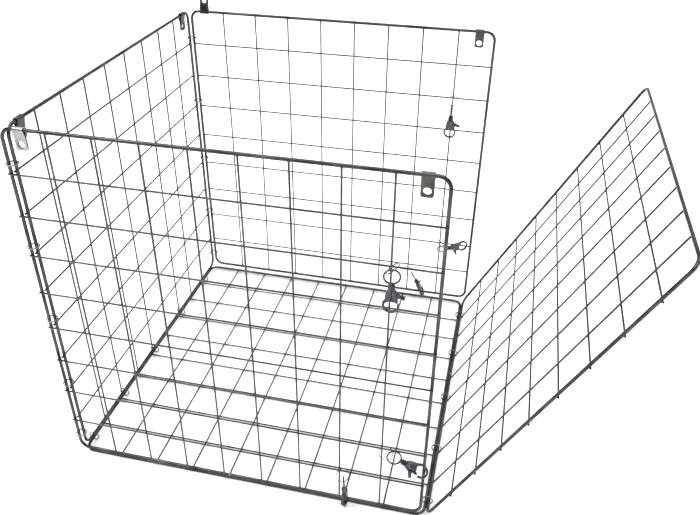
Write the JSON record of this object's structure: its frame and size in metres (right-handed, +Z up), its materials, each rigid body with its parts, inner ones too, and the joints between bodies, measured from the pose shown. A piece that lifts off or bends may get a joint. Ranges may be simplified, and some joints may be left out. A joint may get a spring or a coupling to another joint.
{
  "type": "wire dog crate",
  "caption": "Open wire crate for a small pet: square welded mesh panels hinged with hog rings, a fold-down end door, strap tabs and snap hooks on split rings.",
  "frame": {"origin": "under the middle of the crate's box, on the plane that the hog rings stand on", "axes": "+X from the hinged left end to the door, +Y from the front to the back, +Z up"},
  "size_m": [0.676, 0.4904, 0.4821],
  "materials": {
    "panel_steel": "satin, dark galvanised",
    "hog_ring_steel": "bright drawn wire",
    "strap_steel": "dull rolled strip",
    "split_ring_steel": "polished",
    "hook_zinc": "dark nickel on cast zinc",
    "trigger_zinc": "dark nickel on cast zinc"
  },
  "bodies": {
    "floor": {"floor_panel": "panel_steel", "left_end_ring_1": "hog_ring_steel", "left_end_ring_2": "hog_ring_steel", "left_end_ring_3": "hog_ring_steel", "left_end_ring_4": "hog_ring_steel", "left_end_ring_5": "hog_ring_steel", "door_ring_1": "hog_ring_steel", "door_ring_2": "hog_ring_steel", "door_ring_3": "hog_ring_steel", "door_ring_4": "hog_ring_steel", "door_ring_5": "hog_ring_steel"},
    "left_end": {"left_end_panel": "panel_steel", "front_edge_ring_1": "hog_ring_steel", "front_edge_ring_2": "hog_ring_steel", "front_edge_ring_3": "hog_ring_steel", "front_edge_ring_4": "hog_ring_steel", "front_edge_ring_5": "hog_ring_steel", "back_edge_ring_1": "hog_ring_steel", "back_edge_ring_2": "hog_ring_steel", "back_edge_ring_3": "hog_ring_steel", "back_edge_ring_4": "hog_ring_steel", "back_edge_ring_5": "hog_ring_steel"},
    "front": {"front_panel": "panel_steel"},
    "back": {"back_panel": "panel_steel"},
    "door": {"door_panel": "panel_steel"},
    "front_left_tab": {"front_left_tab": "strap_steel"},
    "front_right_tab": {"front_right_tab": "strap_steel"},
    "back_left_tab": {"back_left_tab": "strap_steel"},
    "back_right_tab": {"back_right_tab": "strap_steel"},
    "left_end_front_tab": {"left_end_front_tab": "strap_steel"},
    "left_end_back_tab": {"left_end_back_tab": "strap_steel"},
    "front_upper_hook_split_ring": {"front_upper_hook_split_ring": "split_ring_steel"},
    "front_upper_hook_swivel_ring": {"front_upper_hook_swivel_ring": "hook_zinc"},
    "front_upper_hook_body": {"front_upper_hook_body": "hook_zinc"},
    "front_upper_hook_trigger": {"front_upper_hook_trigger": "trigger_zinc"},
    "front_side_hook_split_ring": {"front_side_hook_split_ring": "split_ring_steel"},
    "front_side_hook_swivel_ring": {"front_side_hook_swivel_ring": "hook_zinc"},
    "front_side_hook_body": {"front_side_hook_body": "hook_zinc"},
    "front_side_hook_trigger": {"front_side_hook_trigger": "trigger_zinc"},
    "front_floor_hook_split_ring": {"front_floor_hook_split_ring": "split_ring_steel"},
    "front_floor_hook_swivel_ring": {"front_floor_hook_swivel_ring": "hook_zinc"},
    "front_floor_hook_body": {"front_floor_hook_body": "hook_zinc"},
    "front_floor_hook_trigger": {"front_floor_hook_trigger": "trigger_zinc"},
    "back_upper_hook_split_ring": {"back_upper_hook_split_ring": "split_ring_steel"},
    "back_upper_hook_swivel_ring": {"back_upper_hook_swivel_ring": "hook_zinc"},
    "back_upper_hook_body": {"back_upper_hook_body": "hook_zinc"},
    "back_upper_hook_trigger": {"back_upper_hook_trigger": "trigger_zinc"},
    "back_side_hook_split_ring": {"back_side_hook_split_ring": "split_ring_steel"},
    "back_side_hook_swivel_ring": {"back_side_hook_swivel_ring": "hook_zinc"},
    "back_side_hook_body": {"back_side_hook_body": "hook_zinc"},
    "back_side_hook_trigger": {"back_side_hook_trigger": "trigger_zinc"},
    "back_floor_hook_split_ring": {"back_floor_hook_split_ring": "split_ring_steel"},
    "back_floor_hook_swivel_ring": {"back_floor_hook_swivel_ring": "hook_zinc"},
    "back_floor_hook_body": {"back_floor_hook_body": "hook_zinc"},
    "back_floor_hook_trigger": {"back_floor_hook_trigger": "trigger_zinc"}
  },
  "joints": [
    {"name": "left_end_fold", "type": "hinge", "parent": "floor", "child": "left_end", "pos_m": [-0.32876, -0.00305, 0.01014], "axis": [0, -1, 0], "range_deg": [0, 90]},
    {"name": "front_fold", "type": "hinge", "parent": "left_end", "child": "front", "pos_m": [-0.33326, -0.22805, 0.23484], "axis": [0, 0, 1], "range_deg": [-135, 0]},
    {"name": "back_fold", "type": "hinge", "parent": "left_end", "child": "back", "pos_m": [-0.32395, 0.23055, 0.23484], "axis": [0, 0, 1], "range_deg": [0, 135]},
    {"name": "door_fold", "type": "hinge", "parent": "floor", "child": "door", "pos_m": [0.12497, -0.00305, 0.00799], "axis": [0, 1, 0], "range_deg": [-28, 62]},
    {"name": "front_left_tab_turn", "type": "hinge", "parent": "front", "child": "front_left_tab", "pos_m": [-0.31226, -0.22805, 0.46014], "axis": [1, 0, 0], "range_deg": [-160, 160]},
    {"name": "front_right_tab_turn", "type": "hinge", "parent": "front", "child": "front_right_tab", "pos_m": [0.09574, -0.22805, 0.46014], "axis": [1, 0, 0], "range_deg": [-160, 160]},
    {"name": "back_left_tab_turn", "type": "hinge", "parent": "back", "child": "back_left_tab", "pos_m": [-0.30295, 0.23055, 0.46014], "axis": [1, 0, 0], "range_deg": [-165, 160]},
    {"name": "back_right_tab_turn", "type": "hinge", "parent": "back", "child": "back_right_tab", "pos_m": [0.10504, 0.23055, 0.46014], "axis": [1, 0, 0], "range_deg": [-160, 160]},
    {"name": "left_end_front_tab_turn", "type": "hinge", "parent": "left_end", "child": "left_end_front_tab", "pos_m": [-0.32876, -0.20275, 0.46014], "axis": [0, 1, 0], "range_deg": [-160, 160]},
    {"name": "left_end_back_tab_turn", "type": "hinge", "parent": "left_end", "child": "left_end_back_tab", "pos_m": [-0.32876, 0.20525, 0.46014], "axis": [0, 1, 0], "range_deg": [-160, 160]},
    {"name": "front_upper_hook_ring_swing", "type": "hinge", "parent": "front", "child": "front_upper_hook_split_ring", "pos_m": [0.06674, -0.23075, 0.36014], "axis": [1, 0, 0], "range_deg": [0, 30]},
    {"name": "front_upper_hook_link_swing", "type": "hinge", "parent": "front_upper_hook_split_ring", "child": "front_upper_hook_swivel_ring", "pos_m": [0.06641, -0.22406, 0.34887], "axis": [0.652, 0.7419, 0.1563], "range_deg": [0, 70]},
    {"name": "front_upper_hook_swivel", "type": "hinge", "parent": "front_upper_hook_swivel_ring", "child": "front_upper_hook_body", "pos_m": [0.06724, -0.22365, 0.34344], "axis": [0, 0, -1], "range_deg": [-20, 30]},
    {"name": "front_upper_hook_trigger_press", "type": "hinge", "parent": "front_upper_hook_body", "child": "front_upper_hook_trigger", "pos_m": [0.06875, -0.22365, 0.32394], "axis": [0, 1, 0], "range_deg": [0, 20], "stiffness_Nm_per_rad": 0.004, "springref_deg": -28.65},
    {"name": "front_side_hook_ring_swing", "type": "hinge", "parent": "front", "child": "front_side_hook_split_ring", "pos_m": [0.06674, -0.22895, 0.09984], "axis": [0, 0, 1], "range_deg": [-1, 1]},
    {"name": "front_side_hook_link_swing", "type": "hinge", "parent": "front_side_hook_split_ring", "child": "front_side_hook_swivel_ring", "pos_m": [0.07901, -0.22938, 0.09899], "axis": [-0.1984, -0.901, -0.3858], "range_deg": [-0.5, 0.5]},
    {"name": "front_side_hook_swivel", "type": "hinge", "parent": "front_side_hook_swivel_ring", "child": "front_side_hook_body", "pos_m": [0.08155, -0.22895, 0.0967], "axis": [0.9171, 0, -0.3987], "range_deg": [-3, 3]},
    {"name": "front_side_hook_trigger_press", "type": "hinge", "parent": "front_side_hook_body", "child": "front_side_hook_trigger", "pos_m": [0.09926, -0.23039, 0.08854], "axis": [0.383, -0.2782, 0.8809], "range_deg": [0, 20], "stiffness_Nm_per_rad": 0.004, "springref_deg": -28.65},
    {"name": "front_floor_hook_ring_swing", "type": "hinge", "parent": "front", "child": "front_floor_hook_split_ring", "pos_m": [0.01674, -0.22895, 0.04984], "axis": [0, 0, 1], "range_deg": [-2, 2]},
    {"name": "front_floor_hook_link_swing", "type": "hinge", "parent": "front_floor_hook_split_ring", "child": "front_floor_hook_swivel_ring", "pos_m": [0.02405, -0.23633, 0.04851], "axis": [-0.8552, -0.5151, -0.0567], "range_deg": [-2, 1]},
    {"name": "front_floor_hook_swivel", "type": "hinge", "parent": "front_floor_hook_swivel_ring", "child": "front_floor_hook_body", "pos_m": [0.02405, -0.2358, 0.04383], "axis": [0.02, 0.17, -0.9852], "range_deg": [-4, 2]},
    {"name": "front_floor_hook_trigger_press", "type": "hinge", "parent": "front_floor_hook_body", "child": "front_floor_hook_trigger", "pos_m": [0.02444, -0.23397, 0.02436], "axis": [0.9998, 0, 0.0203], "range_deg": [0, 20], "stiffness_Nm_per_rad": 0.004, "springref_deg": -28.65},
    {"name": "back_upper_hook_ring_swing", "type": "hinge", "parent": "back", "child": "back_upper_hook_split_ring", "pos_m": [0.07605, 0.23325, 0.36014], "axis": [-1, 0, 0], "range_deg": [0, 30]},
    {"name": "back_upper_hook_link_swing", "type": "hinge", "parent": "back_upper_hook_split_ring", "child": "back_upper_hook_swivel_ring", "pos_m": [0.07605, 0.22094, 0.35277], "axis": [1, 0, 0], "range_deg": [-80, 2]},
    {"name": "back_upper_hook_swivel", "type": "hinge", "parent": "back_upper_hook_swivel_ring", "child": "back_upper_hook_body", "pos_m": [0.07605, 0.22085, 0.34634], "axis": [0, 0, -1], "range_deg": [-60, 180]},
    {"name": "back_upper_hook_trigger_press", "type": "hinge", "parent": "back_upper_hook_body", "child": "back_upper_hook_trigger", "pos_m": [0.07755, 0.22085, 0.32684], "axis": [0, 1, 0], "range_deg": [0, 20], "stiffness_Nm_per_rad": 0.004, "springref_deg": -28.65},
    {"name": "back_side_hook_ring_swing", "type": "hinge", "parent": "back", "child": "back_side_hook_split_ring", "pos_m": [0.07605, 0.23145, 0.10984], "axis": [0, 0, 1], "range_deg": [-0.4, 0.5]},
    {"name": "back_side_hook_link_swing", "type": "hinge", "parent": "back_side_hook_split_ring", "child": "back_side_hook_swivel_ring", "pos_m": [0.08081, 0.22076, 0.11013], "axis": [0.662, 0.2338, -0.7121], "range_deg": [-1, 0.5]},
    {"name": "back_side_hook_swivel", "type": "hinge", "parent": "back_side_hook_swivel_ring", "child": "back_side_hook_body", "pos_m": [0.08273, 0.21535, 0.11014], "axis": [0.866, 0.5, 0], "range_deg": [-5, 5]},
    {"name": "back_side_hook_trigger_press", "type": "hinge", "parent": "back_side_hook_body", "child": "back_side_hook_trigger", "pos_m": [0.09962, 0.2251, 0.10864], "axis": [0.5, -0.866, 0], "range_deg": [0, 20], "stiffness_Nm_per_rad": 0.004, "springref_deg": -28.65},
    {"name": "back_floor_hook_ring_swing", "type": "hinge", "parent": "back", "child": "back_floor_hook_split_ring", "pos_m": [0.02604, 0.23145, 0.04684], "axis": [0, 0, 1], "range_deg": [-1, 1]},
    {"name": "back_floor_hook_link_swing", "type": "hinge", "parent": "back_floor_hook_split_ring", "child": "back_floor_hook_swivel_ring", "pos_m": [0.03585, 0.22758, 0.04404], "axis": [0.5651, 0.7759, 0.2803], "range_deg": [-1, 0.5]},
    {"name": "back_floor_hook_swivel", "type": "hinge", "parent": "back_floor_hook_swivel_ring", "child": "back_floor_hook_body", "pos_m": [0.0373, 0.22773, 0.04069], "axis": [0.4212, 0.1605, -0.8926], "range_deg": [-3, 2]},
    {"name": "back_floor_hook_trigger_press", "type": "hinge", "parent": "back_floor_hook_body", "child": "back_floor_hook_trigger", "pos_m": [0.04541, 0.23234, 0.0235], "axis": [-0.9044, 0, -0.4268], "range_deg": [0, 20], "stiffness_Nm_per_rad": 0.004, "springref_deg": -28.65}
  ]
}
